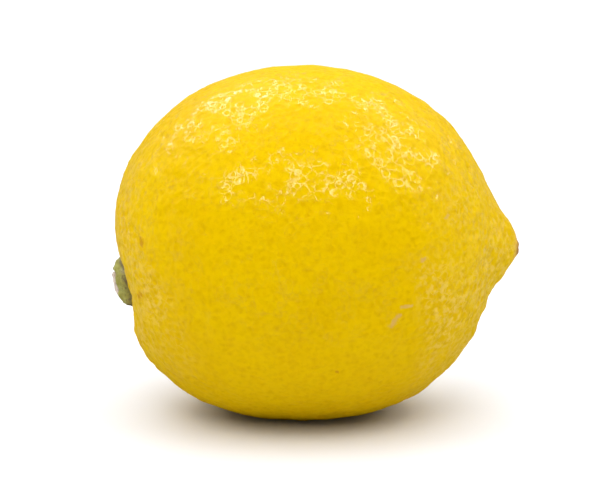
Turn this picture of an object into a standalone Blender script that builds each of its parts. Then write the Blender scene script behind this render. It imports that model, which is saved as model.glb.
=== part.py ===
"""A plump lemon lying on its side, with the green button and the cut stalk at its stem end.

Metres. +X runs from the stem end to the nipple and +Z is up. The origin is the centre of the small flat
spot that the fruit rests on.
"""

import math

import bmesh
import bpy
from mathutils import Matrix, Vector

MM = 0.001

# The fruit is two rounded halves about its own axis, with a nipple at one end and a basin at the other.
BODY_RADIUS = 32.0 * MM
STEM_HALF_LENGTH = 33.7 * MM
TIP_HALF_LENGTH = 35.0 * MM
FULLNESS = 2.2  # 2 would make each half an ellipsoid, and more makes it squarer
NIPPLE_HEIGHT = 4.5 * MM
NIPPLE_RADIUS = 6.6 * MM
BASIN_DEPTH = 2.9 * MM
BASIN_HALF_HEIGHT = 7.3 * MM
BASIN_HALF_WIDTH = 16.0 * MM
BASIN_DROP = 6.6 * MM  # from the fruit's axis down to the middle of the basin and of the button
AXIS_TILT = math.radians(0.4)  # how far the nipple is raised
FLAT_DEPTH = 0.6 * MM  # how much of the round belly the flat spot takes off
SEGMENTS_AROUND = 48
SEGMENTS_ALONG = 34
CROWDING = 0.25  # draws the rings closer together at both ends of the fruit

# The button is a thick, domed disc with five low lobes and a well for the stalk. Its back follows the basin.
BUTTON_RADIUS = 4.4 * MM
BUTTON_HEIGHT = 2.7 * MM
BUTTON_LEAN = math.radians(9.0)  # how far the stalk points below the fruit's axis
LOBES = 5
LOBE_SIZE = 0.07  # as a share of the radius
WELL_RADIUS = 2.5 * MM
WELL_DEPTH = 0.9 * MM
BUTTON_SEGMENTS = 40

# The stalk is cut off short, and its end stands a little proud of the button.
STALK_RADIUS = 2.15 * MM
STALK_PROUD = 0.5 * MM
STALK_EDGE = 0.25 * MM
STALK_SEGMENTS = 24

CLEARANCE = 0.3 * MM  # between one piece and the next


def clear_scene():
    for thing in list(bpy.data.objects):
        bpy.data.objects.remove(thing)


def new_collection(name):
    collection = bpy.data.collections.new(name)
    bpy.context.scene.collection.children.link(collection)
    return collection


def plain_material(name, colour, roughness):
    material = bpy.data.materials.new(name)
    material.use_nodes = True
    shader = material.node_tree.nodes["Principled BSDF"]
    shader.inputs["Base Color"].default_value = (*colour, 1.0)
    shader.inputs["Roughness"].default_value = roughness
    return material


def add_piece(name, mesh, material, collection):
    piece = bpy.data.objects.new(name, mesh)
    mesh.materials.append(material)
    collection.objects.link(piece)
    return piece


def finished_mesh(shape, name, placing):
    """Turns a bmesh into a mesh with its faces outward, moved by a matrix and shaded smooth."""
    bmesh.ops.transform(shape, matrix=placing, verts=shape.verts)
    bmesh.ops.recalc_face_normals(shape, faces=shape.faces)
    mesh = bpy.data.meshes.new(name)
    shape.to_mesh(mesh)
    shape.free()
    mesh.shade_smooth()
    return mesh


def mound(distance):
    """1 in its middle, falling smoothly to nothing beyond a distance of about 2."""
    return math.exp(-(distance**2))


def basin_depth(side, height):
    """How far the basin sinks into the stem end at a place beside and above the fruit's axis."""
    return BASIN_DEPTH * mound(math.hypot(side / BASIN_HALF_WIDTH, (height + BASIN_DROP) / BASIN_HALF_HEIGHT))


def fruit_point(angle, turn):
    """A point of the peel about the fruit's own axis.

    The angle runs from 0 at the nipple to pi at the stem end, and the turn goes round the axis.
    """
    half_length = TIP_HALF_LENGTH if angle < math.pi / 2 else STEM_HALF_LENGTH
    forward = abs(math.cos(angle)) / half_length
    outward = abs(math.sin(angle)) / BODY_RADIUS
    reach = (forward**FULLNESS + outward**FULLNESS) ** (-1 / FULLNESS)
    radius = reach * math.sin(angle)
    along = reach * math.cos(angle)
    side, height = radius * math.cos(turn), radius * math.sin(turn)
    if along > 0:
        along += NIPPLE_HEIGHT * mound(radius / NIPPLE_RADIUS)
    else:
        along += basin_depth(side, height)
    return Vector((along, side, height))


def stem_end_at(side, height):
    """Where the peel of the stem end lies along the fruit's axis, beside and above that axis."""
    share = math.hypot(side, height) / BODY_RADIUS
    return -STEM_HALF_LENGTH * (1 - share**FULLNESS) ** (1 / FULLNESS) + basin_depth(side, height)


def button_frame():
    """A frame on the floor of the basin, its Z out of the fruit along the stalk and its X upward."""
    floor = stem_end_at(0, -BASIN_DROP)
    turned = Matrix.Rotation(-math.pi / 2 - BUTTON_LEAN, 4, "Y")
    return Matrix.Translation((floor, 0, -BASIN_DROP)) @ turned


def fruit_shape():
    """The fruit about its own axis, not yet tilted, with no flat spot."""
    shape = bmesh.new()
    bmesh.ops.create_uvsphere(shape, u_segments=SEGMENTS_AROUND, v_segments=SEGMENTS_ALONG, radius=1)
    for vertex in shape.verts:
        polar = math.acos(max(-1.0, min(1.0, vertex.co.z)))
        angle = polar - CROWDING * math.sin(2 * polar)
        vertex.co = fruit_point(angle, math.atan2(vertex.co.y, vertex.co.x))
    return shape


def cut_flat(shape):
    """Slices the flat spot off the belly and gives the middle of the flat."""
    level = min(vertex.co.z for vertex in shape.verts) + FLAT_DEPTH
    every_part = shape.verts[:] + shape.edges[:] + shape.faces[:]
    cut = bmesh.ops.bisect_plane(
        shape, geom=every_part, plane_co=(0, 0, level), plane_no=(0, 0, -1), clear_outer=True
    )
    rim = [part for part in cut["geom_cut"] if isinstance(part, bmesh.types.BMVert)]
    edges = [part for part in cut["geom_cut"] if isinstance(part, bmesh.types.BMEdge)]
    bmesh.ops.contextual_create(shape, geom=edges)
    middle = sum((vertex.co for vertex in rim), Vector()) / len(rim)
    return Vector((middle.x, middle.y, level))


def turned_shape(outline, segments):
    """Turns an outline of (radius, height) pairs about Z. The outline starts and ends on the axis."""
    shape = bmesh.new()
    points = [shape.verts.new((radius, 0, height)) for radius, height in outline]
    edges = [shape.edges.new(pair) for pair in zip(points, points[1:])]
    bmesh.ops.spin(
        shape, geom=points + edges, cent=(0, 0, 0), axis=(0, 0, 1), angle=2 * math.pi, steps=segments,
        use_merge=True,
    )
    bmesh.ops.remove_doubles(shape, verts=shape.verts, dist=0.001 * MM)
    return shape


def button_shape():
    """The button in its place on the stem end, its back an even gap from the peel."""
    top = BUTTON_HEIGHT
    outline = [
        (0, 0),
        (0.55 * BUTTON_RADIUS, 0),
        (0.90 * BUTTON_RADIUS, 0),
        (BUTTON_RADIUS, 0.25 * top),
        (0.98 * BUTTON_RADIUS, 0.55 * top),
        (0.88 * BUTTON_RADIUS, 0.82 * top),
        (0.72 * BUTTON_RADIUS, 0.97 * top),
        (WELL_RADIUS, top),
        (WELL_RADIUS, top - WELL_DEPTH),
        (0, top - WELL_DEPTH),
    ]
    shape = turned_shape(outline, BUTTON_SEGMENTS)
    back = [vertex for vertex in shape.verts if vertex.co.z < 0.1 * top]
    for vertex in shape.verts:
        radius = math.hypot(vertex.co.x, vertex.co.y)
        if radius <= WELL_RADIUS + CLEARANCE:
            continue
        turn = math.atan2(vertex.co.y, vertex.co.x)
        swell = 1 + LOBE_SIZE * math.cos(LOBES * turn) * (radius - WELL_RADIUS) / (BUTTON_RADIUS - WELL_RADIUS)
        vertex.co.x *= swell
        vertex.co.y *= swell
    bmesh.ops.transform(shape, matrix=button_frame(), verts=shape.verts)
    for vertex in back:
        vertex.co.x = stem_end_at(vertex.co.y, vertex.co.z) - CLEARANCE
    return shape


def stalk_shape():
    """The cut stalk in its place, its lower end just clear of the floor of the button's well."""
    length = WELL_DEPTH - CLEARANCE + STALK_PROUD
    outline = [
        (0, 0),
        (STALK_RADIUS, 0),
        (STALK_RADIUS, length - STALK_EDGE),
        (STALK_RADIUS - STALK_EDGE, length),
        (0, length),
    ]
    shape = turned_shape(outline, STALK_SEGMENTS)
    lift = Matrix.Translation((0, 0, BUTTON_HEIGHT - WELL_DEPTH + CLEARANCE))
    bmesh.ops.transform(shape, matrix=button_frame() @ lift, verts=shape.verts)
    return shape


def build_lemon():
    pieces = new_collection("Lemon")
    peel = plain_material("peel", (0.90, 0.62, 0.01), 0.38)
    button_green = plain_material("button_green", (0.26, 0.27, 0.06), 0.7)
    cut_stalk = plain_material("cut_stalk", (0.60, 0.50, 0.40), 0.8)

    fruit = fruit_shape()
    tilt = Matrix.Rotation(-AXIS_TILT, 4, "Y")
    bmesh.ops.transform(fruit, matrix=tilt, verts=fruit.verts)
    to_floor = Matrix.Translation(-cut_flat(fruit))
    add_piece("fruit", finished_mesh(fruit, "fruit", to_floor), peel, pieces)

    lying = to_floor @ tilt
    add_piece("calyx", finished_mesh(button_shape(), "calyx", lying), button_green, pieces)
    add_piece("stem_stub", finished_mesh(stalk_shape(), "stem_stub", lying), cut_stalk, pieces)


clear_scene()
build_lemon()
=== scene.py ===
"""A whole lemon lying on its side, with its green stem button and cut stalk, in a plain white studio."""

import math

import bmesh
import bpy
from bpy.props import FloatProperty, FloatVectorProperty, IntProperty, PointerProperty
from mathutils import Matrix, Vector, noise


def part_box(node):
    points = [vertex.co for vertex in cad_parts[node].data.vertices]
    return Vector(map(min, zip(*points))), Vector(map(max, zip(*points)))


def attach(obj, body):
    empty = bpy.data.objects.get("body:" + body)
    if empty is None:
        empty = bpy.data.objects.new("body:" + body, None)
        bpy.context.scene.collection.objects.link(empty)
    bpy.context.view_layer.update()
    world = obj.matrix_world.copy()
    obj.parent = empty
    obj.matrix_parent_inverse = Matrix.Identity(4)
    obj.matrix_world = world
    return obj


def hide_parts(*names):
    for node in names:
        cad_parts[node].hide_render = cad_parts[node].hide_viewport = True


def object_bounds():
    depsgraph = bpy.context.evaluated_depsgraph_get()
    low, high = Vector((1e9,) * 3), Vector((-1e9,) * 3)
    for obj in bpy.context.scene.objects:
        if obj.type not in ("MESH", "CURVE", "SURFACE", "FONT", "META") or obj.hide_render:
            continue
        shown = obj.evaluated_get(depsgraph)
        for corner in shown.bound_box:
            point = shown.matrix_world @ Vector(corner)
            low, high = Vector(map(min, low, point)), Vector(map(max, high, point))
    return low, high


bl_info = {
    "name": "Whole Lemon",
    "version": (1, 0, 0),
    "blender": (4, 5, 0),
    "location": "3D View > Sidebar > Lemon",
    "description": "Builds a whole lemon with its stem button and cut stalk, and a white studio around it",
    "category": "Object",
}

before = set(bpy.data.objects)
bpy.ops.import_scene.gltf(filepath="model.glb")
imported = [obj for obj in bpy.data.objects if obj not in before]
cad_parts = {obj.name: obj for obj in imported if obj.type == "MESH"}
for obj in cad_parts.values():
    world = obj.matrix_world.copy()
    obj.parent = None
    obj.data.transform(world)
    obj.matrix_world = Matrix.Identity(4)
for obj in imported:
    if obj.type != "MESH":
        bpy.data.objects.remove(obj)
CAD_LOW, CAD_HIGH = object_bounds()

MM = 0.001

# The corky rub marks on the front of the fruit. Each is so far along the axis from the fruit's middle, so far
# above the axis, so long, slanted so much to the axis, and so wide.
RUB_MARKS = (
    (17.5 * MM, -8.0 * MM, 2.2 * MM, math.radians(55), 0.55 * MM),
    (19.5 * MM, -5.5 * MM, 1.6 * MM, 0.0, 0.40 * MM),
    (22.5 * MM, 2.5 * MM, 0.5 * MM, math.radians(30), 0.45 * MM),
    (26.5 * MM, 9.0 * MM, 0.5 * MM, math.radians(45), 0.40 * MM),
)

# Small brown spots, measured like the rub marks. The first lies by the button.
BROWN_SPOTS = (
    (-27.5 * MM, -6.0 * MM, 0.5 * MM, math.radians(80), 0.65 * MM),
    (-27.0 * MM, 4.0 * MM, 0.8 * MM, math.radians(80), 0.50 * MM),
    (7.5 * MM, -17.5 * MM, 0.2 * MM, 0.0, 0.35 * MM),
)

# The features of the peel's shape.
SWELL_SIZE = 22 * MM
RIB_DRIFT = 14 * MM  # over which the ribs change as they spread
RIBS_RISE = (3 * MM, 5.5 * MM)  # the distances from the stalk between which they begin
RIBS_FADE = (8 * MM, 16 * MM)  # and between which they end
RELIEF_PATCH_SIZE = 9 * MM
NIPPLE_FULLER_ABOVE = 0.12  # how much wider the nipple spreads above its middle, and narrower below
END_LUMP_SIZE = 2.4 * MM
FLOOR_EASE = 0.3 * MM  # how gently the belly bends onto the floor

# The small dimples among the others, and the rims of both, as shares of a dimple's size or height.
SMALL_DIMPLE_SIZE = 0.55
SMALL_DIMPLE_HEIGHT = 0.35
RIM_WIDTH = 0.40
SMALL_RIM_WIDTH = 0.45

# The features of the peel's colours, from the broadest to the finest.
PATCH_SIZE = 14 * MM
WAX_PATCH_SIZE = 3.5 * MM
CREST_PATCH_SIZE = 3.0 * MM
MOTTLE_SIZE = 1.5 * MM
# The blotchy patches of painted reflection towards both ends.
REFLECTION_BLOTCH_SIZE = 1.1 * MM
SPECK_SIZE = 0.8 * MM
GRAIN_SIZE = 0.5 * MM
CRUMB_SIZE = 0.45 * MM

# How far the oil glands stray from an even spread, and over what distance that changes.
GLAND_WAVER = 2 * MM
GLAND_WAVER_SIZE = 3 * MM

# The brown scar at the tip and its corky edge, as distances from the middle of the tip.
TIP_SCAR_INNER = 1.3 * MM
TIP_SCAR_OUTER = 2.1 * MM
CORKY_OUTER = 3.0 * MM
TIP_RAGGEDNESS = 1.4 * MM
TIP_RAG_SIZE = 1.2 * MM

# The rub marks' and the spots' edges, and how little the depth under them counts.
STREAK_RAGGEDNESS = 2.6
STREAK_DEPTH_COUNT = 0.15

# How strongly each of the peel's marks covers the colour below it.
PORE_STRENGTH = 0.55
# The painted reflection of the white surroundings on crests and blotchy patches towards both ends.
PAINTED_REFLECTION_STRENGTH = 0.38
# The painted shade in the hollows between those patches.
DIP_SHADE_STRENGTH = 0.30
RUB_STRENGTH = 0.62
SPOT_STRENGTH = 0.60

# The peel's finest relief, below what its mesh can hold.
PORE_DEPTH = 0.035 * MM
GRAIN_HEIGHT = 0.004 * MM
CREST_HEIGHT = 0.010 * MM
RING_HEIGHT = 0.008 * MM
LINE_WIDTH = 0.09  # of the waxy crests and rings, as a share of their spacing
RING_RADIUS = 0.36  # of the rings, as a share of their spacing

# The button in its own frame: a dome with a collar and a well round the stalk.
BUTTON_RINGS = 30
BUTTON_COLUMNS = 120
BUTTON_SUNK = 0.5 * MM  # how far the button's edge reaches below the smooth peel
BUTTON_EDGE = 0.2 * MM  # how thick it is there
SIDE_LEAN = 0.10  # how steeply its top leans sideways
DIP_RADIUS = 0.92  # the radius between two lobes, and what a lobe and rags add to it, as shares
LOBE_REACH = 0.11
EDGE_RAGGEDNESS = 0.08
LOBE_POINT = 0.7  # below 1 rounds the lobes, and above 1 points them
LOBE_DIP = 0.4 * MM
DOME_STEEPNESS = 3.4  # below the stalk
STEEPER_ABOVE = 2.6
DOME_FLATNESS = 0.4
WRINKLE_HEIGHT = 0.45 * MM
WRINKLE_SIZE = 1.3 * MM
CREASE_HEIGHT = 0.22 * MM
CREASE_SIZE = 0.5 * MM
COLLAR_RADIUS = 2.85 * MM
COLLAR_HEIGHT = 0.10 * MM
COLLAR_WIDTH = 0.35 * MM
WELL_INNER = 2.15 * MM
WELL_OUTER = 2.55 * MM
WELL_DEPTH = 0.7 * MM

# The stalk, from its cut face down into the well.
STALK_COLUMNS = 72
STALK_DEPTH = 1.2 * MM
PITH_DEPTH = 0.25 * MM
BARK_STEP = 0.12 * MM  # how far the bark stands up from the cut, and rounds down at its outer edge
GROOVE_DEPTH = 0.08 * MM
STALK_RAGGEDNESS = 0.16
CUT_LUMP_HEIGHT = 0.35 * MM
CUT_LUMP_SIZE = 0.9 * MM
CUT_GRAIN_HEIGHT = 0.15 * MM
CUT_GRAIN_SIZE = 0.35 * MM

# The colours of the button and of the cut, and their finest relief, below what their meshes can hold.
GREEN_PATCH_SIZE = 1.4 * MM
FLECK_SIZE = 0.35 * MM
WOOD_PATCH_SIZE = 0.7 * MM
RAY_CROWDING = 14.0
FLECK_HEIGHT = 0.08 * MM
RAY_HEIGHT = 0.06 * MM

# The studio's lights. Each has a name, a direction from the fruit, a distance, a width and a height in
# metres, and a power in watts. The fills light the fruit and the floor, and the glints are only mirrored in
# the peel's waxy lines.
FILLS = (
    ("overhead", (0, 0, 1), 1.0, 4.0, 1.6, 37.5),
    ("left", (-0.8, 0.0, 0.6), 1.0, 0.5, 0.5, 0.6),
    ("right", (0.8, 0.0, 0.6), 1.0, 0.5, 0.5, 0.7),
    ("front", (-0.09, -0.75, 0.66), 1.0, 0.5, 0.5, 2.9),
)
GLINTS = (
    ("backdrop", (0, 1, 0.33), 1.5, 4.0, 2.6, 15),
    ("side_left", (-1, 0.2, 0.3), 1.0, 1.6, 1.6, 2.2),
    ("side_right", (1, 0.2, 0.3), 1.0, 1.6, 1.6, 2.4),
    ("glint_back", (0.10, 0.55, 0.80), 1.0, 1.00, 0.40, 4.5),
    ("glint_back_left", (-0.46, 0.40, 0.79), 1.0, 0.80, 0.70, 8),
    ("glint_right", (0.62, 0.16, 0.76), 1.0, 0.80, 0.70, 10),
    ("glint_front", (-0.09, -0.56, 0.82), 1.0, 1.20, 0.40, 12),
)

# The rest of the studio.
SKY_LIGHT = 0.34
SKY_SEEN = 1.0
FLOOR_ROUGHNESS = 0.6
CARD_RADIUS = 20 * MM
CARD_CORNERS = 64
CAMERA_AIM = Vector((-1.7 * MM, 0, -1.8 * MM))  # from the middle of the fruit's box
SENSOR_WIDTH = 36.0  # in millimetres


# ---- Settings ----


def length_setting(name, description, default):
    return FloatProperty(name=name, description=description, default=default, unit="LENGTH")


def angle_setting(name, description, default):
    return FloatProperty(name=name, description=description, default=default, subtype="ANGLE")


def plain_setting(name, description, default):
    return FloatProperty(name=name, description=description, default=default)


def count_setting(name, description, default):
    return IntProperty(name=name, description=description, default=default)


def color_setting(name, description, default):
    return FloatVectorProperty(name=name, description=description, default=default, subtype="COLOR", size=3)


class LemonPeelSettings(bpy.types.PropertyGroup):
    """The fruit's shape about its own axis, the relief of its peel, and its colours"""

    body_radius: length_setting("Body radius", "Radius of the fruit at its widest", 32.0 * MM)
    stem_half: length_setting("Stem half", "Length of the half towards the stem", 33.7 * MM)
    tip_half: length_setting("Tip half", "Length of the half towards the nipple", 35.0 * MM)
    fullness: plain_setting("Fullness", "2 makes each half an ellipsoid, and more makes it squarer", 2.2)
    crown_taper: plain_setting("Crown taper", "How much less full the crown is than the sides", 0.13)
    tilt: angle_setting("Tilt", "How far the nipple is raised", math.radians(0.4))
    nipple_height: length_setting("Nipple height", "How far the nipple stands out", 4.5 * MM)
    nipple_radius: length_setting("Nipple radius", "How wide the nipple spreads", 6.6 * MM)
    nipple_drop: length_setting("Nipple drop", "From the fruit's axis down to the nipple", 0.8 * MM)
    scar_radius: length_setting("Scar radius", "Radius of the dry scar at the nipple", 1.5 * MM)
    scar_height: length_setting("Scar height", "How far the dry scar stands out", 0.25 * MM)
    basin_depth: length_setting("Basin depth", "Depth of the basin at the stem end", 3.1 * MM)
    basin_half_height: length_setting("Basin half height", "How far the basin spreads up and down", 7.3 * MM)
    basin_half_width: length_setting("Basin half width", "How far the basin spreads sideways", 16.0 * MM)
    basin_drop: length_setting("Basin drop", "From the fruit's axis down to the basin", 7.1 * MM)
    rib_height: length_setting("Rib height", "Height of the ribs that spread from the button", 0.35 * MM)
    swell: length_setting("Swell", "Height of the broad unevenness of the fruit", 0.5 * MM)
    lump_size: length_setting("Lump size", "Width of a lump of the peel", 4.5 * MM)
    lump_height: length_setting("Lump height", "Height of the lumps of the peel", 0.5 * MM)
    dimple_size: length_setting("Dimple size", "Width of a dimple of the peel", 1.6 * MM)
    dimple_depth: length_setting("Dimple depth", "From a dimple's floor up to its rim", 0.11 * MM)
    gland_spacing: length_setting("Gland spacing", "Distance between oil glands", 1.35 * MM)
    end_roughness: plain_setting("Rougher ends", "How much stronger the relief is towards both ends", 0.9)
    end_lumps: length_setting("End lumps", "Height of the small lumps towards both ends", 0.35 * MM)
    cells_per_side: count_setting("Cells per side", "Mesh cells along each side of the first cube", 127)
    skin_color: color_setting("Skin", "Ripe yellow of the peel", (0.668, 0.435, 0.0))
    deep_color: color_setting("Deep yellow", "Deeper patches of the peel", (0.63, 0.39, 0.0))
    # Also the painted shade in the hollows between the whitish patches towards both ends.
    pore_and_shade_color: color_setting("Pores", "Middle of an oil gland", (0.51, 0.29, 0.0))
    # Painted reflection of the white surroundings on ridges and patches towards both ends, partly also paler
    # rims.
    ridge_and_reflection_color: color_setting("Ridges", "Pale ridges towards both ends", (0.82, 0.60, 0.18))
    scar_color: color_setting("Rub marks", "Corky rub marks", (0.56, 0.33, 0.11))
    spot_color: color_setting("Spots", "Small brown spots", (0.40, 0.15, 0.01))
    tip_color: color_setting("Tip scar", "Dry scar at the nipple", (0.27, 0.12, 0.02))


class LemonStemSettings(bpy.types.PropertyGroup):
    """The green button at the stem end and the cut stalk in its middle"""

    button_radius: length_setting("Button radius", "Radius of the button", 4.4 * MM)
    button_height: length_setting("Button height", "How far the button stands off the peel", 3.3 * MM)
    button_lean: angle_setting("Button lean", "How far the stalk points below the axis", math.radians(9))
    lobes: count_setting("Lobes", "Lobes round the button", 5)
    stalk_radius: length_setting("Stalk radius", "Radius of the cut stalk", 2.15 * MM)
    stalk_proud: length_setting("Stalk height", "How far the cut end stands off the button", 0.25 * MM)
    cut_slope: plain_setting("Cut slope", "How steeply the cut end leans sideways", 0.25)
    green_color: color_setting("Green", "Green of the button", (0.27, 0.25, 0.04))
    # Also painted along the button's edge as a contact shadow.
    dry_and_shadow_color: color_setting("Dry edge", "Dried brown of the button's edge", (0.12, 0.08, 0.03))
    pale_green_color: color_setting("Pale green", "Paler patches of the button", (0.36, 0.35, 0.08))
    wood_color: color_setting("Cut wood", "Pale cut end of the stalk", (0.66, 0.55, 0.46))
    bark_color: color_setting("Stalk edge", "Bark at the cut's edge", (0.40, 0.29, 0.20))


class LemonStageSettings(bpy.types.PropertyGroup):
    """The white floor, the soft lights and the camera"""

    floor_size: length_setting("Floor size", "Side of the square floor", 6.0)
    floor_color: color_setting("Floor", "Pale colour of the floor", (0.79, 0.80, 0.84))
    camera_azimuth: angle_setting("Camera azimuth", "Turn of the camera round the fruit", math.radians(2))
    camera_elevation: angle_setting("Camera elevation", "Height of the camera", math.radians(12))
    camera_distance: length_setting("Camera distance", "From the fruit to the camera", 0.6)
    focal_length: plain_setting("Focal length", "Focal length in millimetres on a 36 mm sensor", 195.0)


# ---- Node helpers, for shader trees and geometry trees alike ----


def feed(tree, socket, value):
    """Links a socket to another, or sets its value."""
    if isinstance(value, bpy.types.NodeSocket):
        tree.links.new(value, socket)
    else:
        socket.default_value = value


def feed_all(tree, node, inputs):
    """Feeds a node's inputs by name."""
    for name, value in inputs.items():
        feed(tree, node.inputs[name], value)


def put(tree, kind, inputs=None, **settings):
    """Adds a node with its settings and its inputs."""
    node = tree.nodes.new(kind)
    for name, value in settings.items():
        setattr(node, name, value)
    feed_all(tree, node, inputs or {})
    return node


def calc(tree, operation, *values):
    node = put(tree, "ShaderNodeMath", operation=operation)
    for socket, value in zip(node.inputs, values):
        feed(tree, socket, value)
    return node.outputs[0]


def vector_calc(tree, operation, *values):
    node = put(tree, "ShaderNodeVectorMath", operation=operation)
    for socket, value in zip(node.inputs, values):
        feed(tree, socket, value)
    return node.outputs["Value" if operation in ("LENGTH", "DISTANCE", "DOT_PRODUCT") else "Vector"]


def product(tree, first, *others):
    for other in others:
        first = calc(tree, "MULTIPLY", first, other)
    return first


def diagonal(tree, across, up):
    """The length of the long side of a right triangle."""
    return calc(tree, "SQRT", calc(tree, "ADD", product(tree, across, across), product(tree, up, up)))


def scaled(tree, vector, factor):
    node = put(tree, "ShaderNodeVectorMath", {"Vector": vector, "Scale": factor}, operation="SCALE")
    return node.outputs["Vector"]


def parts_of(tree, vector):
    """The X, Y and Z of a vector."""
    return put(tree, "ShaderNodeSeparateXYZ", {"Vector": vector}).outputs


def combined(tree, parts):
    """The vector with these parts, given by their letters."""
    return put(tree, "ShaderNodeCombineXYZ", parts).outputs[0]


def remap(tree, value, low, high, start=0.0, end=1.0):
    """Eases a value from start, at low, to end, at high."""
    names = ("Value", "From Min", "From Max", "To Min", "To Max")
    inputs = dict(zip(names, (value, low, high, start, end)))
    return put(tree, "ShaderNodeMapRange", inputs, interpolation_type="SMOOTHSTEP").outputs["Result"]


def mixed(tree, factor, first, second):
    """Mixes two colours, each a socket or three numbers."""
    node = put(tree, "ShaderNodeMix", data_type="RGBA")
    feed(tree, node.inputs["Factor"], factor)
    for identifier, color in (("A_Color", first), ("B_Color", second)):
        socket = next(item for item in node.inputs if item.identifier == identifier)
        feed(tree, socket, color if isinstance(color, bpy.types.NodeSocket) else (*color, 1.0))
    return next(item for item in node.outputs if item.identifier == "Result_Color")


def cloud(tree, position, size, detail=2.0):
    """Smooth noise from 0 to 1 whose features are about the given size, a number or a socket."""
    scale = calc(tree, "DIVIDE", 1.0, size) if isinstance(size, bpy.types.NodeSocket) else 1.0 / size
    inputs = {"Vector": position, "Scale": scale, "Detail": detail}
    return put(tree, "ShaderNodeTexNoise", inputs).outputs[0]


def unevenness(tree, position, size, detail=2.0):
    """Smooth noise from about -0.5 to 0.5."""
    return calc(tree, "SUBTRACT", cloud(tree, position, size, detail), 0.5)


def voronoi(tree, position, size, feature):
    """The distance to the nearest of scattered points, or to the edge of its cell, as a share of the size."""
    inputs = {"Vector": position, "Scale": 1.0 / size}
    return put(tree, "ShaderNodeTexVoronoi", inputs, feature=feature).outputs["Distance"]


def wavered(tree, position, size, reach):
    """The position moved about smoothly by up to half the reach."""
    inputs = {"Vector": position, "Scale": 1.0 / size, "Detail": 1.0}
    waver = put(tree, "ShaderNodeTexNoise", inputs).outputs["Color"]
    waver = vector_calc(tree, "SUBTRACT", waver, (0.5, 0.5, 0.5))
    return vector_calc(tree, "ADD", position, scaled(tree, waver, reach))


def dimple_rims(tree, place, size, width):
    """1 on the rims between the dimples of the peel, easing to 0 at a share of a dimple's width from them."""
    moved = wavered(tree, place, 1.1 * size, size)
    edge = voronoi(tree, moved, size, "DISTANCE_TO_EDGE")
    return remap(tree, edge, 0.0, width, 1.0, 0.0)


def rings(tree, place, size, width):
    """1 along thin, uneven rings of up to three quarters of the size across, and 0 away from them."""
    near = voronoi(tree, wavered(tree, place, 0.6 * size, 0.5 * size), size, "F1")
    away = calc(tree, "ABSOLUTE", calc(tree, "SUBTRACT", near, RING_RADIUS))
    return remap(tree, away, 0.0, width, 1.0, 0.0)


def streak(tree, place, start, end, width, strength):
    """A strength along a straight streak, falling to 0 at its ragged edge. Depth counts little."""
    shallow = (1.0, STREAK_DEPTH_COUNT, 1.0)
    along = (end - start) * Vector(shallow)
    from_start = vector_calc(tree, "MULTIPLY", vector_calc(tree, "SUBTRACT", place, tuple(start)), shallow)
    share = vector_calc(tree, "DOT_PRODUCT", from_start, tuple(along / along.length_squared))
    share = calc(tree, "MINIMUM", calc(tree, "MAXIMUM", share, 0.0), 1.0)
    nearest = scaled(tree, tuple(along), share)
    away = vector_calc(tree, "DISTANCE", from_start, nearest)
    away = calc(tree, "MULTIPLY_ADD", unevenness(tree, place, SPECK_SIZE), STREAK_RAGGEDNESS * width, away)
    return remap(tree, away, 0.1 * width, 1.2 * width, strength, 0.0)


def mound(tree, distance):
    """1 where the distance is 0, falling smoothly to nothing beyond about 2."""
    return calc(tree, "EXPONENT", product(tree, distance, distance, -1.0))


def attribute(tree, name):
    return put(tree, "ShaderNodeAttribute", attribute_name=name).outputs


def new_material(name):
    """A new material, its tree and its shader."""
    material = bpy.data.materials.new(name)
    material.use_nodes = True
    return material, material.node_tree, material.node_tree.nodes["Principled BSDF"]


def bump(tree, shader, height):
    node = put(tree, "ShaderNodeBump", {"Distance": 1.0, "Height": height})
    feed(tree, shader.inputs["Normal"], node.outputs[0])


# ---- Peel ----


def fruit_middle(peel):
    """Where the fruit's own middle lies in the frame, from the CAD fruit's box."""
    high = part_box("fruit")[1]
    tip = (peel.tip_half + peel.nipple_height) * math.cos(peel.tilt)
    return Vector((high.x - tip, 0.0, high.z - peel.body_radius))


def mark_ends(peel, middle, along, above, length, slant):
    """Where a straight mark on the front of the smooth fruit starts and ends."""
    half = peel.tip_half if along > 0 else peel.stem_half
    radius = peel.body_radius * (1 - abs(along / half) ** peel.fullness) ** (1 / peel.fullness)
    spot = middle + Vector((along, -math.sqrt(radius**2 - above**2), above))
    reach = Vector((math.cos(slant), 0, math.sin(slant))) * length / 2
    return spot - reach, spot + reach


def button_ribs(tree, beside, above):
    """Uneven ribs from about -0.5 to 0.5 that spread from the button's edge and fade away from it."""
    spot = combined(tree, {"X": beside, "Y": above})
    away = vector_calc(tree, "LENGTH", spot)
    around = scaled(tree, vector_calc(tree, "NORMALIZE", spot), 1.6)
    drift = scaled(tree, spot, 1.0 / RIB_DRIFT)
    uneven = unevenness(tree, vector_calc(tree, "ADD", around, drift), 0.45, 1.0)
    nearby = product(tree, remap(tree, away, *RIBS_RISE), remap(tree, away, *RIBS_FADE, 1.0, 0.0))
    return product(tree, uneven, 2.0, nearby)


def body_reach(tree, forward, outward, height, at_tip, size):
    """How far the two rounded halves of the body reach, less full towards the crown."""
    longer = calc(tree, "SUBTRACT", size["Tip Half"], size["Stem Half"])
    half = calc(tree, "MULTIPLY_ADD", at_tip, longer, size["Stem Half"])
    fullness = calc(tree, "SUBTRACT", size["Fullness"], product(tree, size["Crown Taper"], height))
    along_share = calc(tree, "POWER", calc(tree, "DIVIDE", calc(tree, "ABSOLUTE", forward), half), fullness)
    out_share = calc(tree, "POWER", calc(tree, "DIVIDE", outward, size["Body Radius"]), fullness)
    root = calc(tree, "DIVIDE", -1.0, fullness)
    return calc(tree, "POWER", calc(tree, "ADD", along_share, out_share), root)


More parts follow.
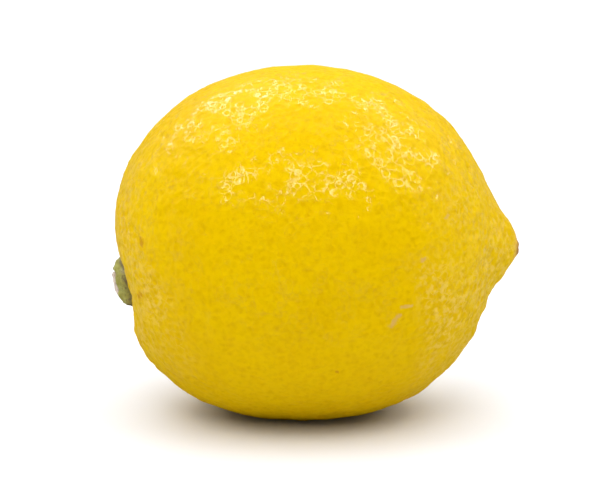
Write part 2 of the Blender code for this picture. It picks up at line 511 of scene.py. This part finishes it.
def nipple_rise(tree, beside, over, size):
    """How far the nipple and the dry scar on it stand out, fuller above than below."""
    from_nipple = diagonal(tree, beside, over)
    narrower, wider = 1 + NIPPLE_FULLER_ABOVE, 1 - NIPPLE_FULLER_ABOVE
    leaned = product(tree, from_nipple, remap(tree, over, -4 * MM, 4 * MM, narrower, wider))
    spread = calc(tree, "DIVIDE", leaned, size["Nipple Radius"])
    nipple = product(tree, mound(tree, spread), size["Nipple Height"])
    from_scar = calc(tree, "DIVIDE", from_nipple, size["Scar Radius"])
    plateau = remap(tree, from_scar, 0.7, 1.3, 1.0, 0.0)
    hollow = remap(tree, from_scar, 0.1, 0.7, 0.6, 0.0)
    scar = calc(tree, "SUBTRACT", plateau, hollow)
    return calc(tree, "MULTIPLY_ADD", scar, size["Scar Height"], nipple)


def basin_rise(tree, beside, above, size):
    """How far the basin goes in at the stem end, less the ribs that spread from the button."""
    across_share = calc(tree, "DIVIDE", beside, size["Basin Half Width"])
    above_share = calc(tree, "DIVIDE", above, size["Basin Half Height"])
    basin = product(tree, mound(tree, diagonal(tree, across_share, above_share)), size["Basin Depth"])
    ribs = product(tree, button_ribs(tree, beside, above), size["Rib Height"])
    return calc(tree, "SUBTRACT", basin, ribs)


def peel_surface(tree, direction, size):
    """The smooth fruit about its own middle, as a position for each direction."""
    forward, side, height = parts_of(tree, direction)
    outward = diagonal(tree, side, height)
    at_tip = calc(tree, "GREATER_THAN", forward, 0.0)
    at_stem = calc(tree, "SUBTRACT", 1.0, at_tip)
    reach = body_reach(tree, forward, outward, height, at_tip, size)
    beside = product(tree, side, reach)
    over_nipple = calc(tree, "MULTIPLY_ADD", height, reach, size["Nipple Drop"])
    over_button = calc(tree, "MULTIPLY_ADD", height, reach, size["Basin Drop"])
    nipple = product(tree, nipple_rise(tree, beside, over_nipple, size), at_tip)
    basin = product(tree, basin_rise(tree, beside, over_button, size), at_stem)
    shift = combined(tree, {"X": calc(tree, "ADD", nipple, basin)})
    return vector_calc(tree, "ADD", scaled(tree, direction, reach), shift)


# The settings that are inputs of the peel's geometry tree under their own names.
PEEL_SIZES = (
    "body_radius", "stem_half", "tip_half", "fullness", "crown_taper",
    "nipple_height", "nipple_radius", "nipple_drop", "scar_radius", "scar_height",
    "basin_depth", "basin_half_height", "basin_half_width", "basin_drop", "rib_height",
    "swell", "lump_size", "lump_height", "dimple_depth", "end_roughness", "end_lumps",
)


def input_name(field):
    """A setting's name as the name of an input, such as Body Radius for body_radius."""
    return field.replace("_", " ").title()


def rounded_cube(tree, per_side):
    """A cube of even cells, and the direction that rounds it into a ball with cells of nearly one size."""
    cube = put(tree, "GeometryNodeMeshCube", {"Size": (2.0, 2.0, 2.0)})
    corners = calc(tree, "ADD", per_side, 1.0)
    for axis in ("X", "Y", "Z"):
        feed(tree, cube.inputs["Vertices " + axis], corners)
    corner = put(tree, "GeometryNodeInputPosition").outputs[0]
    evened = vector_calc(tree, "TANGENT", scaled(tree, corner, math.pi / 4))
    return cube.outputs["Mesh"], vector_calc(tree, "NORMALIZE", evened)


def peel_relief(tree, place, peel, size):
    """How far the peel rises: broad swells, lumps, dimples with raised rims, and small lumps at both ends."""
    along, _, above = parts_of(tree, vector_calc(tree, "SUBTRACT", place, size["Middle"]))
    end_share = calc(tree, "DIVIDE", calc(tree, "ABSOLUTE", along), size["Tip Half"])
    rougher = product(tree, remap(tree, end_share, 0.25, 0.85), size["End Roughness"])
    uneven = remap(tree, cloud(tree, place, RELIEF_PATCH_SIZE, 1.0), 0.35, 0.65, 0.6, 1.15)
    strength = product(tree, uneven, calc(tree, "ADD", rougher, 1.0))

    rims = dimple_rims(tree, place, peel.dimple_size, RIM_WIDTH)
    small_rims = dimple_rims(tree, place, SMALL_DIMPLE_SIZE * peel.dimple_size, SMALL_RIM_WIDTH)
    rims = calc(tree, "MULTIPLY_ADD", small_rims, SMALL_DIMPLE_HEIGHT, rims)
    dimples = product(tree, calc(tree, "SUBTRACT", rims, 0.9), size["Dimple Depth"])

    lumps = product(tree, unevenness(tree, place, size["Lump Size"], 1.5), size["Lump Height"])
    below_crown = remap(tree, above, -8 * MM, 6 * MM, 1.0, 0.35)
    at_ends = product(tree, remap(tree, end_share, 0.50, 0.90), below_crown)
    end_lumps = product(tree, unevenness(tree, place, END_LUMP_SIZE, 1.0), at_ends, size["End Lumps"])
    lumps = calc(tree, "ADD", lumps, end_lumps)
    swell = product(tree, unevenness(tree, place, SWELL_SIZE, 1.0), size["Swell"])
    return calc(tree, "ADD", product(tree, calc(tree, "ADD", dimples, lumps), strength), swell)


def rested(tree, place):
    """The place, eased up to the floor where it would lie below it."""
    parts = parts_of(tree, place)
    lifted = calc(tree, "SMOOTH_MAX", parts["Z"], 0.0, FLOOR_EASE)
    return combined(tree, {"X": parts["X"], "Y": parts["Y"], "Z": lifted})


def peel_tree(peel, material):
    """Geometry nodes that make the peel: a rounded cube drawn out to the fruit's shape, then its relief."""
    tree = bpy.data.node_groups.new("Lemon peel", "GeometryNodeTree")
    interface = tree.interface
    interface.new_socket(name="Geometry", in_out="OUTPUT", socket_type="NodeSocketGeometry")
    interface.new_socket(name="Cells Per Side", in_out="INPUT", socket_type="NodeSocketInt")
    for field in PEEL_SIZES:
        interface.new_socket(name=input_name(field), in_out="INPUT", socket_type="NodeSocketFloat")
    for name in ("Middle", "Turn"):
        interface.new_socket(name=name, in_out="INPUT", socket_type="NodeSocketVector")
    size = tree.nodes.new("NodeGroupInput").outputs

    cube, direction = rounded_cube(tree, size["Cells Per Side"])
    turning = {"Vector": peel_surface(tree, direction, size), "Rotation": size["Turn"]}
    turned = put(tree, "ShaderNodeVectorRotate", turning, rotation_type="EULER_XYZ").outputs[0]
    placed = vector_calc(tree, "ADD", turned, size["Middle"])
    fruit = put(tree, "GeometryNodeSetPosition", {"Geometry": cube, "Position": placed}).outputs[0]

    place = put(tree, "GeometryNodeInputPosition").outputs[0]
    keeping = {"Geometry": fruit, "Name": "smooth_place", "Value": place}
    fruit = put(tree, "GeometryNodeStoreNamedAttribute", keeping, data_type="FLOAT_VECTOR").outputs[0]
    outward = put(tree, "GeometryNodeInputNormal").outputs[0]
    offset = scaled(tree, outward, peel_relief(tree, place, peel, size))
    fruit = put(tree, "GeometryNodeSetPosition", {"Geometry": fruit, "Offset": offset}).outputs[0]
    resting = {"Geometry": fruit, "Position": rested(tree, place)}
    fruit = put(tree, "GeometryNodeSetPosition", resting).outputs[0]

    fruit = put(tree, "GeometryNodeSetShadeSmooth", {"Geometry": fruit}).outputs[0]
    fruit = put(tree, "GeometryNodeRealizeInstances", {"Geometry": fruit}).outputs[0]
    fruit = put(tree, "GeometryNodeSetMaterial", {"Geometry": fruit, "Material": material}).outputs[0]
    out = tree.nodes.new("NodeGroupOutput")
    tree.links.new(fruit, out.inputs["Geometry"])
    return tree


def grown_mesh(name, tree, inputs):
    """The mesh that a geometry tree makes with these inputs, as a plain mesh object with no modifier."""
    maker = bpy.data.objects.new(name + "_maker", bpy.data.meshes.new(name + "_maker"))
    bpy.context.scene.collection.objects.link(maker)
    modifier = maker.modifiers.new("Nodes", "NODES")
    modifier.node_group = tree
    for item in tree.interface.items_tree:
        if item.in_out == "INPUT":
            modifier[item.identifier] = inputs[item.name]
    evaluated = maker.evaluated_get(bpy.context.evaluated_depsgraph_get())
    mesh = bpy.data.meshes.new_from_object(evaluated)
    mesh.name = name
    maker.modifiers.clear()
    bpy.data.objects.remove(maker)
    piece = bpy.data.objects.new(name, mesh)
    bpy.context.scene.collection.objects.link(piece)
    return piece


def skin_tones(tree, peel, broad, mottle, pore):
    """Ripe yellow in deeper patches and mottles, with a darker middle to each oil gland."""
    color = mixed(tree, remap(tree, broad, 0.4, 0.7, 0.0, 0.5), peel.skin_color, peel.deep_color)
    color = mixed(tree, remap(tree, mottle, 0.45, 0.75, 0.0, 0.4), color, peel.deep_color)
    return mixed(tree, product(tree, pore, PORE_STRENGTH), color, peel.pore_and_shade_color)


def towards_ends(tree, peel, middle, place, broad):
    """1 at both ends of the fruit and 0 about its waist, with an uneven edge, and less at the crown."""
    along = parts_of(tree, vector_calc(tree, "SUBTRACT", place, tuple(middle)))["X"]
    end_share = calc(tree, "DIVIDE", calc(tree, "ABSOLUTE", along), peel.tip_half)
    end_share = calc(tree, "MULTIPLY_ADD", calc(tree, "SUBTRACT", broad, 0.5), 0.8, end_share)
    below_crown = remap(tree, parts_of(tree, place)["Z"], 24 * MM, 40 * MM, 1.0, 0.4)
    return product(tree, remap(tree, end_share, 0.60, 0.95), below_crown)


def end_reflections_and_shade(tree, peel, color, smooth_place, crest, at_ends):
    """Whitish crests and blotchy patches painted as a reflection of the white surroundings, partly also paler
    rims, with painted shade in the darker hollows between them, towards both ends.
    """
    patchy = remap(tree, cloud(tree, smooth_place, CREST_PATCH_SIZE), 0.35, 0.65)
    spotting = cloud(tree, smooth_place, REFLECTION_BLOTCH_SIZE)
    reflection_blotches = remap(tree, spotting, 0.46, 0.66)
    # Painted reflection of the white surroundings on the crests and blotchy patches.
    painted_reflection = calc(tree, "MAXIMUM", product(tree, crest, patchy), reflection_blotches)
    color = mixed(tree, product(tree, painted_reflection, at_ends, PAINTED_REFLECTION_STRENGTH), color, peel.ridge_and_reflection_color)
    # Painted shade in the hollows between the whitish patches.
    painted_dip_shade = remap(tree, spotting, 0.34, 0.47, 1.0, 0.0)
    return mixed(tree, product(tree, painted_dip_shade, at_ends, DIP_SHADE_STRENGTH), color, peel.pore_and_shade_color)


def front_marks(tree, peel, middle, color, place):
    """The rub marks and the brown spots."""
    groups = ((RUB_MARKS, peel.scar_color, RUB_STRENGTH), (BROWN_SPOTS, peel.spot_color, SPOT_STRENGTH))
    for marks, tone, strength in groups:
        for along, above, length, slant, width in marks:
            start, end = mark_ends(peel, middle, along, above, length, slant)
            color = mixed(tree, streak(tree, place, start, end, width, strength), color, tone)
    return color


def tip_scar(tree, peel, middle, color, place):
    """The crumbly brown scar at the end of the nipple, with a corky edge."""
    tip_length = peel.tip_half + peel.nipple_height
    tip = middle + Vector((tip_length, 0, tip_length * math.sin(peel.tilt) - peel.nipple_drop))
    flattened = (0.3, 1.0, 1.0)
    from_tip = vector_calc(tree, "SUBTRACT", place, tuple(tip))
    from_tip = vector_calc(tree, "LENGTH", vector_calc(tree, "MULTIPLY", from_tip, flattened))
    ragged = unevenness(tree, place, TIP_RAG_SIZE, 3.0)
    from_tip = calc(tree, "MULTIPLY_ADD", ragged, -TIP_RAGGEDNESS, from_tip)
    corky = remap(tree, from_tip, TIP_SCAR_INNER, CORKY_OUTER, 0.7, 0.0)
    color = mixed(tree, corky, color, peel.scar_color)
    crumbs = remap(tree, cloud(tree, place, CRUMB_SIZE), 0.35, 0.65, 0.55, 1.0)
    scar = remap(tree, from_tip, TIP_SCAR_INNER, TIP_SCAR_OUTER, 1.0, 0.0)
    return mixed(tree, product(tree, scar, crumbs), color, peel.tip_color)


def peel_wax(tree, place, smooth_place, crest, ring):
    """The coat on thin crests and rings, less in patches, low on the fruit and where it is seen edge on."""
    waxed = calc(tree, "MAXIMUM", product(tree, crest, 0.6), ring)
    worn = remap(tree, cloud(tree, smooth_place, WAX_PATCH_SIZE), 0.40, 0.58)
    high_up = remap(tree, parts_of(tree, place)["Z"], 12 * MM, 26 * MM)
    edge_on = put(tree, "ShaderNodeLayerWeight", {"Blend": 0.5}).outputs["Facing"]
    face_on = remap(tree, edge_on, 0.60, 0.90, 1.0, 0.0)
    return product(tree, waxed, product(tree, worn, high_up, face_on))


def peel_material(peel, middle):
    """Waxy yellow peel with oil glands, ends with a painted reflection in whitish blotchy patches and painted
    shade between them, corky marks and a brown scar at the tip.
    """
    material, tree, shader = new_material("lemon_peel")
    place = put(tree, "ShaderNodeTexCoord").outputs["Object"]
    smooth_place = attribute(tree, "smooth_place")["Vector"]
    broad = cloud(tree, place, PATCH_SIZE, 3.0)
    mottle = cloud(tree, place, MOTTLE_SIZE, 1.5)
    strayed = wavered(tree, smooth_place, GLAND_WAVER_SIZE, GLAND_WAVER)
    gland = voronoi(tree, strayed, peel.gland_spacing, "F1")
    specks = remap(tree, cloud(tree, smooth_place, SPECK_SIZE, 1.0), 0.45, 0.75)
    pore = remap(tree, gland, 0.15, 0.65, 1.0, 0.0)
    pore = calc(tree, "MULTIPLY_ADD", pore, 0.5, product(tree, specks, 0.5))
    crest = dimple_rims(tree, smooth_place, peel.dimple_size, LINE_WIDTH)
    ring = rings(tree, smooth_place, 1.25 * peel.dimple_size, LINE_WIDTH)

    color = skin_tones(tree, peel, broad, mottle, pore)
    at_ends = towards_ends(tree, peel, middle, place, broad)
    color = end_reflections_and_shade(tree, peel, color, smooth_place, crest, at_ends)
    color = front_marks(tree, peel, middle, color, place)
    color = tip_scar(tree, peel, middle, color, place)
    rough = calc(tree, "MULTIPLY_ADD", mottle, 0.15, 0.35)
    finish = {
        "Base Color": color,
        "Roughness": calc(tree, "MULTIPLY_ADD", pore, 0.15, rough),
        "Coat Weight": peel_wax(tree, place, smooth_place, crest, ring),
        "Coat Roughness": 0.16,
        "IOR": 1.45,
        "Specular Tint": (1.0, 0.86, 0.15, 1.0),
        "Specular IOR Level": 0.03,
        "Subsurface Weight": 0.12,
        "Subsurface Radius": (1.0, 0.45, 0.05),
        "Subsurface Scale": 1.5 * MM,
    }
    feed_all(tree, shader, finish)

    height = product(tree, pore, -PORE_DEPTH)
    height = calc(tree, "MULTIPLY_ADD", cloud(tree, place, GRAIN_SIZE), GRAIN_HEIGHT, height)
    height = calc(tree, "MULTIPLY_ADD", crest, CREST_HEIGHT, height)
    height = calc(tree, "MULTIPLY_ADD", ring, RING_HEIGHT, height)
    bump(tree, shader, height)
    return material


class LEMON_OT_build_peel(bpy.types.Operator):
    """Builds the fruit: its peel with the nipple, the basin, the glands and the marks"""

    bl_idname = "lemon.build_peel"
    bl_label = "Build peel"

    def execute(self, context):
        peel = context.scene.lemon_peel
        middle = fruit_middle(peel)
        inputs = {input_name(field): getattr(peel, field) for field in PEEL_SIZES}
        inputs["Cells Per Side"] = peel.cells_per_side
        inputs["Middle"] = middle
        inputs["Turn"] = (0.0, -peel.tilt, 0.0)
        piece = grown_mesh("peel", peel_tree(peel, peel_material(peel, middle)), inputs)
        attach(piece, "root")
        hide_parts("fruit")
        return {"FINISHED"}


# ---- Button and stalk ----


def closed_rings(rows, columns, point):
    """A closed shape of rings of points. The first row and the last are one point each, on the axis."""
    shape = bmesh.new()
    turns = [2 * math.pi * index / columns for index in range(columns)]
    ends = [shape.verts.new(point(row, 0.0)) for row in (rows[0], rows[-1])]
    rings = [[shape.verts.new(point(row, turn)) for turn in turns] for row in rows[1:-1]]
    for inner, outer in zip(rings, rings[1:]):
        for index in range(columns):
            after = (index + 1) % columns
            shape.faces.new((inner[index], inner[after], outer[after], outer[index]))
    for end, ring in zip(ends, (rings[0], rings[-1])):
        for index in range(columns):
            shape.faces.new((end, ring[index], ring[(index + 1) % columns]))
    return shape


def keep_value(shape, name, value):
    """Keeps a value found from each point's position, for the material to read by name."""
    layer = shape.verts.layers.float.new(name)
    for vertex in shape.verts:
        vertex[layer] = value(vertex.co)


def eased(value, low, high):
    """0 below low and 1 above high, with a smooth change between them."""
    share = min(1.0, max(0.0, (value - low) / (high - low)))
    return share * share * (3 - 2 * share)


def bell(value, middle, width):
    """1 at the middle, falling smoothly to nothing beyond about two widths from it."""
    return math.exp(-(((value - middle) / width) ** 2))


def grain(position, size, seed=0.0):
    """Smooth noise from about -0.5 to 0.5 whose features are about the given size."""
    return 0.5 * noise.noise(Vector(position) / size + Vector((seed, seed, seed)))


def finished_piece(shape, name, placing, material):
    """Turns a bmesh into a piece with its faces outward, its place in its mesh and a material."""
    bmesh.ops.transform(shape, matrix=placing, verts=shape.verts)
    bmesh.ops.recalc_face_normals(shape, faces=shape.faces)
    mesh = bpy.data.meshes.new(name)
    shape.to_mesh(mesh)
    shape.free()
    mesh.shade_smooth()
    mesh.materials.append(material)
    piece = bpy.data.objects.new(name, mesh)
    bpy.context.scene.collection.objects.link(piece)
    return piece


def stem_end_at(peel, side, height):
    """Where the smooth peel of the stem end lies along the fruit's axis, beside and above that axis."""
    share = math.hypot(side, height) / peel.body_radius
    body = -peel.stem_half * (1 - share**peel.fullness) ** (1 / peel.fullness)
    away = math.hypot(side / peel.basin_half_width, (height + peel.basin_drop) / peel.basin_half_height)
    return body + peel.basin_depth * math.exp(-(away**2))


def stem_frame(peel, stem):
    """A frame on the floor of the basin, its Z out along the stalk and its X upward."""
    floor = stem_end_at(peel, 0.0, -peel.basin_drop)
    lying = Matrix.Translation(fruit_middle(peel)) @ Matrix.Rotation(-peel.tilt, 4, "Y")
    turned = Matrix.Rotation(-math.pi / 2 - stem.button_lean, 4, "Y")
    return lying @ Matrix.Translation((floor, 0, -peel.basin_drop)) @ turned


def peel_below(peel, stem, across, side):
    """How high the smooth peel lies in the button's own frame, above and beside the stalk."""
    floor = stem_end_at(peel, 0.0, -peel.basin_drop)
    height = -peel.basin_drop + across * math.cos(stem.button_lean)
    lean = across * math.sin(stem.button_lean)
    return floor - stem_end_at(peel, side, height) - lean


def button_edge(stem, turn):
    """The button's radius: greatest at the point of each lobe, with a dip between two lobes."""
    lobe = (0.5 + 0.5 * math.cos(stem.lobes * turn)) ** LOBE_POINT
    ragged = grain((math.cos(turn), math.sin(turn), 0), 0.3)
    return stem.button_radius * (DIP_RADIUS + LOBE_REACH * lobe + EDGE_RAGGEDNESS * ragged)


def button_dome(turn, away):
    """How far up the dome a place is, as a share. The dome is steep above the stalk and slopes below it."""
    above = (1 + math.cos(turn)) / 2
    steepness = DOME_STEEPNESS + STEEPER_ABOVE * above
    return max(0.0, 1 - away**steepness) ** DOME_FLATNESS


def button_wrinkles(spot, away):
    """How far the wrinkles and the finer creases rise, fading out towards the stalk."""
    wrinkles = WRINKLE_HEIGHT * grain(spot, WRINKLE_SIZE) + CREASE_HEIGHT * grain(spot, CREASE_SIZE, seed=7.0)
    return wrinkles * eased(away, 0.3, 0.6)


def button_shape(peel, stem):
    """The button in its own frame: a wrinkled, lobed dome that is sunk into the peel."""
    upper_rows = [("top", math.sin(math.pi / 2 * index / BUTTON_RINGS)) for index in range(BUTTON_RINGS + 1)]
    back_rows = [("back", share) for share in (0.97, 0.8, 0.6, 0.4, 0.2, 0.0)]

    def point(row, turn):
        face, away = row
        radius = away * button_edge(stem, turn)
        across, side = radius * math.cos(turn), radius * math.sin(turn)
        sunk = peel_below(peel, stem, across, side) - BUTTON_SUNK
        if face == "back":
            return Vector((across, side, sunk - BUTTON_EDGE))
        dome = button_dome(turn, away)
        between = (0.5 - 0.5 * math.cos(stem.lobes * turn)) ** 3
        height = sunk + (stem.button_height - sunk) * dome
        height -= LOBE_DIP * between * eased(away, 0.5, 0.85) * dome
        height += button_wrinkles((across, side, height), away)
        height += COLLAR_HEIGHT * bell(radius, COLLAR_RADIUS, COLLAR_WIDTH) + SIDE_LEAN * side * dome
        height -= WELL_DEPTH * (1 - eased(radius, WELL_INNER, WELL_OUTER))
        ragged = grain((turn, 3 * dome, 0), 0.35, seed=2.0) * eased(away, 0.6, 0.9)
        bulge = 1 + 0.20 * dome * (1 - dome) + 0.10 * ragged
        return Vector((across * bulge, side * bulge, height))

    return closed_rings(upper_rows + back_rows, BUTTON_COLUMNS, point)


def cut_relief(share):
    """The cut face's relief from its middle to its edge: a pith hollow, a groove, and the bark's step."""
    relief = BARK_STEP * bell(share, 0.86, 0.07) - GROOVE_DEPTH * bell(share, 0.74, 0.05)
    return relief - PITH_DEPTH * (1 - eased(share, 0.1, 0.28)) - BARK_STEP * eased(share, 0.92, 1.0)


def stalk_shape(stem):
    """The cut stalk in the button's frame, with a rough slanted cut."""
    faces = (0, 0.1, 0.18, 0.28, 0.4, 0.52, 0.64, 0.74, 0.8, 0.86, 0.92, 0.97, 1.0)
    rows = [("cut", share) for share in faces]
    rows += [("side", share) for share in (0.12, 0.3, 0.5, 0.75, 1.0)]
    rows += [("bottom", share) for share in (0.6, 0.0)]

    def point(row, turn):
        face, share = row
        outline = 1 + STALK_RAGGEDNESS * grain((math.cos(turn), math.sin(turn), 4.0), 0.55)
        radius = stem.stalk_radius * outline * (share if face != "side" else 1.0)
        across, side = radius * math.cos(turn), radius * math.sin(turn)
        low = stem.button_height - STALK_DEPTH
        if face == "bottom":
            return Vector((across, side, low))
        top = stem.button_height + stem.stalk_proud + stem.cut_slope * side
        top += CUT_LUMP_HEIGHT * grain((across, side, 0), CUT_LUMP_SIZE, seed=5.0)
        top += CUT_GRAIN_HEIGHT * grain((across, side, 0), CUT_GRAIN_SIZE)
        if face == "side":
            return Vector((across, side, top - BARK_STEP + (low - top) * share))
        return Vector((across, side, top + cut_relief(share)))

    return closed_rings(rows, STALK_COLUMNS, point)


def button_material(stem):
    """Olive green in soft patches, drying to brown in flecks and at the stalk, and brown along the edge: a
    dry edge that is also a painted contact shadow where it meets the peel.
    """
    material, tree, shader = new_material("button_green")
    place = put(tree, "ShaderNodeTexCoord").outputs["Object"]
    patches = cloud(tree, place, GREEN_PATCH_SIZE, 3.0)
    color = mixed(tree, remap(tree, patches, 0.40, 0.62), stem.green_color, stem.pale_green_color)
    flecks = cloud(tree, place, FLECK_SIZE)
    color = mixed(tree, remap(tree, flecks, 0.55, 0.72, 0.0, 0.5), color, stem.dry_and_shadow_color)
    away = attribute(tree, "away")["Fac"]
    ragged = calc(tree, "MULTIPLY_ADD", calc(tree, "SUBTRACT", patches, 0.5), 0.35, away)
    # The dry edge, darkened as a painted contact shadow where the button meets the peel.
    color = mixed(tree, remap(tree, ragged, 0.94, 1.06, 0.0, 0.85), color, stem.dry_and_shadow_color)
    color = mixed(tree, remap(tree, away, 0.50, 0.62, 0.7, 0.0), color, stem.dry_and_shadow_color)
    rough = calc(tree, "MULTIPLY_ADD", flecks, 0.3, 0.45)
    feed_all(tree, shader, {"Base Color": color, "Roughness": rough, "Specular IOR Level": 0.3})
    bump(tree, shader, product(tree, flecks, FLECK_HEIGHT))
    return material


def wood_material(stem):
    """Pale cut wood with fine rays, darker at the pith and along the bark."""
    material, tree, shader = new_material("cut_stalk")
    place = put(tree, "ShaderNodeTexCoord").outputs["Object"]
    share = attribute(tree, "share")["Fac"]
    turn = attribute(tree, "turn")["Fac"]
    around = combined(tree, {"X": product(tree, turn, RAY_CROWDING), "Y": share})
    rays = put(tree, "ShaderNodeTexNoise", {"Vector": around, "Scale": 1.6, "Detail": 2.0}).outputs[0]
    patches = cloud(tree, place, WOOD_PATCH_SIZE, 3.0)
    color = mixed(tree, remap(tree, rays, 0.45, 0.65, 0.0, 0.35), stem.wood_color, stem.bark_color)
    color = mixed(tree, remap(tree, patches, 0.5, 0.75, 0.0, 0.5), color, stem.bark_color)
    color = mixed(tree, remap(tree, share, 0.88, 1.0, 0.0, 0.8), color, stem.bark_color)
    color = mixed(tree, remap(tree, share, 0.08, 0.22, 0.8, 0.0), color, stem.dry_and_shadow_color)
    feed_all(tree, shader, {"Base Color": color, "Roughness": 0.8, "Specular IOR Level": 0.2})
    bump(tree, shader, product(tree, calc(tree, "ADD", rays, patches), RAY_HEIGHT))
    return material


def turn_of(position):
    """The angle of a position about the stalk, from 0 just above it."""
    return math.atan2(position.y, position.x)


class LEMON_OT_build_button(bpy.types.Operator):
    """Builds the green button at the stem end"""

    bl_idname = "lemon.build_button"
    bl_label = "Build button"

    def execute(self, context):
        peel, stem = context.scene.lemon_peel, context.scene.lemon_stem
        shape = button_shape(peel, stem)
        keep_value(shape, "away", lambda spot: math.hypot(spot.x, spot.y) / button_edge(stem, turn_of(spot)))
        button = finished_piece(shape, "button", stem_frame(peel, stem), button_material(stem))
        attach(button, "root")
        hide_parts("calyx")
        return {"FINISHED"}


class LEMON_OT_build_stalk(bpy.types.Operator):
    """Builds the cut stalk in the middle of the button"""

    bl_idname = "lemon.build_stalk"
    bl_label = "Build stalk"

    def execute(self, context):
        peel, stem = context.scene.lemon_peel, context.scene.lemon_stem
        shape = stalk_shape(stem)
        keep_value(shape, "share", lambda spot: math.hypot(spot.x, spot.y) / stem.stalk_radius)
        keep_value(shape, "turn", lambda spot: abs(turn_of(spot)))
        stub = finished_piece(shape, "stalk", stem_frame(peel, stem), wood_material(stem))
        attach(stub, "root")
        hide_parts("stem_stub")
        return {"FINISHED"}


# ---- Stage ----


def add_softbox(name, direction, distance, width, height, power, target):
    """A rectangular area light that faces the target from a direction."""
    light = bpy.data.lights.new(name, "AREA")
    light.shape = "RECTANGLE"
    light.size, light.size_y = width, height
    light.energy = power
    lamp = bpy.data.objects.new(name, light)
    away = Vector(direction).normalized()
    lamp.location = target + away * distance
    lamp.rotation_euler = away.to_track_quat("Z", "Y").to_euler()
    bpy.context.scene.collection.objects.link(lamp)
    return lamp


def studio_world():
    """Even light from every side, white where it is seen itself and not mirrored in the peel."""
    world = bpy.data.worlds.new("studio")
    world.use_nodes = True
    tree = world.node_tree
    tree.nodes.clear()
    seen = put(tree, "ShaderNodeLightPath").outputs["Is Camera Ray"]
    strength = put(tree, "ShaderNodeMix", {"Factor": seen, "A": SKY_LIGHT, "B": SKY_SEEN}, data_type="FLOAT")
    sky = {"Color": (1, 1, 1, 1), "Strength": strength.outputs["Result"]}
    light = put(tree, "ShaderNodeBackground", sky)
    put(tree, "ShaderNodeOutputWorld", {"Surface": light.outputs[0]})
    world.cycles_visibility.glossy = False
    return world


def add_floor(stage):
    """The pale floor, which the peel doesn't mirror."""
    shape = bmesh.new()
    bmesh.ops.create_grid(shape, x_segments=1, y_segments=1, size=stage.floor_size / 2)
    white, tree, shader = new_material("white_floor")
    feed_all(tree, shader, {"Base Color": (*stage.floor_color, 1), "Roughness": FLOOR_ROUGHNESS})
    floor = finished_piece(shape, "floor", Matrix.Identity(4), white)
    floor.visible_glossy = False


def add_shade_card():
    """A black disc under the fruit, seen only in its underside's reflection: a painted shade standing in for
    the shadowed floor there.
    """
    shape = bmesh.new()
    bmesh.ops.create_circle(shape, cap_ends=True, segments=CARD_CORNERS, radius=CARD_RADIUS)
    black, tree, shader = new_material("black_card")
    feed_all(tree, shader, {"Base Color": (0, 0, 0, 1), "Specular IOR Level": 0.0})
    card = finished_piece(shape, "shade_card", Matrix.Identity(4), black)
    card.visible_camera = False
    card.visible_diffuse = False
    card.visible_shadow = False


def add_camera(stage, target):
    """The camera, looking at the target, with the fruit's long side across the view."""
    turn, rise = stage.camera_azimuth, stage.camera_elevation
    back = Vector((math.sin(turn) * math.cos(rise), -math.cos(turn) * math.cos(rise), math.sin(rise)))
    data = bpy.data.cameras.new("Camera")
    data.lens = stage.focal_length
    data.sensor_width = SENSOR_WIDTH
    camera = bpy.data.objects.new("Camera", data)
    camera.location = target + back * stage.camera_distance
    camera.rotation_euler = back.to_track_quat("Z", "Y").to_euler()
    bpy.context.scene.collection.objects.link(camera)
    bpy.context.scene.camera = camera


class LEMON_OT_build_stage(bpy.types.Operator):
    """Builds the white floor, the soft lights, the sky and the camera"""

    bl_idname = "lemon.build_stage"
    bl_label = "Build stage"

    def execute(self, context):
        scene, stage = context.scene, context.scene.lemon_stage
        add_floor(stage)
        add_shade_card()
        middle = (CAD_LOW + CAD_HIGH) / 2
        for light in FILLS:
            lamp = add_softbox(*light, middle)
            lamp.visible_glossy = False
        for light in GLINTS:
            lamp = add_softbox(*light, middle)
            lamp.visible_camera = False
            lamp.visible_diffuse = False
        add_camera(stage, middle + CAMERA_AIM)
        scene.world = studio_world()
        scene.view_settings.view_transform = "Standard"
        return {"FINISHED"}


# ---- Panel and registration ----


class LEMON_PT_panel(bpy.types.Panel):
    """Lists the steps that build the lemon and its studio"""

    bl_idname = "LEMON_PT_panel"
    bl_label = "Whole Lemon"
    bl_space_type = "VIEW_3D"
    bl_region_type = "UI"
    bl_category = "Lemon"

    def draw(self, context):
        scene = context.scene
        groups = (
            (scene.lemon_peel, (LEMON_OT_build_peel,)),
            (scene.lemon_stem, (LEMON_OT_build_button, LEMON_OT_build_stalk)),
            (scene.lemon_stage, (LEMON_OT_build_stage,)),
        )
        for settings, steps in groups:
            box = self.layout.box()
            for step in steps:
                box.operator(step.bl_idname)
            for name in settings.__annotations__:
                box.prop(settings, name)


SETTINGS = {
    "lemon_peel": LemonPeelSettings,
    "lemon_stem": LemonStemSettings,
    "lemon_stage": LemonStageSettings,
}
CLASSES = (
    *SETTINGS.values(),
    LEMON_OT_build_peel,
    LEMON_OT_build_button,
    LEMON_OT_build_stalk,
    LEMON_OT_build_stage,
    LEMON_PT_panel,
)


def register():
    for cls in CLASSES:
        bpy.utils.register_class(cls)
    for name, group in SETTINGS.items():
        setattr(bpy.types.Scene, name, PointerProperty(type=group))


def unregister():
    for name in SETTINGS:
        delattr(bpy.types.Scene, name)
    for cls in reversed(CLASSES):
        bpy.utils.unregister_class(cls)


def main():
    register()
    bpy.ops.lemon.build_stage()
    bpy.ops.lemon.build_peel()
    bpy.ops.lemon.build_button()
    bpy.ops.lemon.build_stalk()


if __name__ == "__main__":
    main()
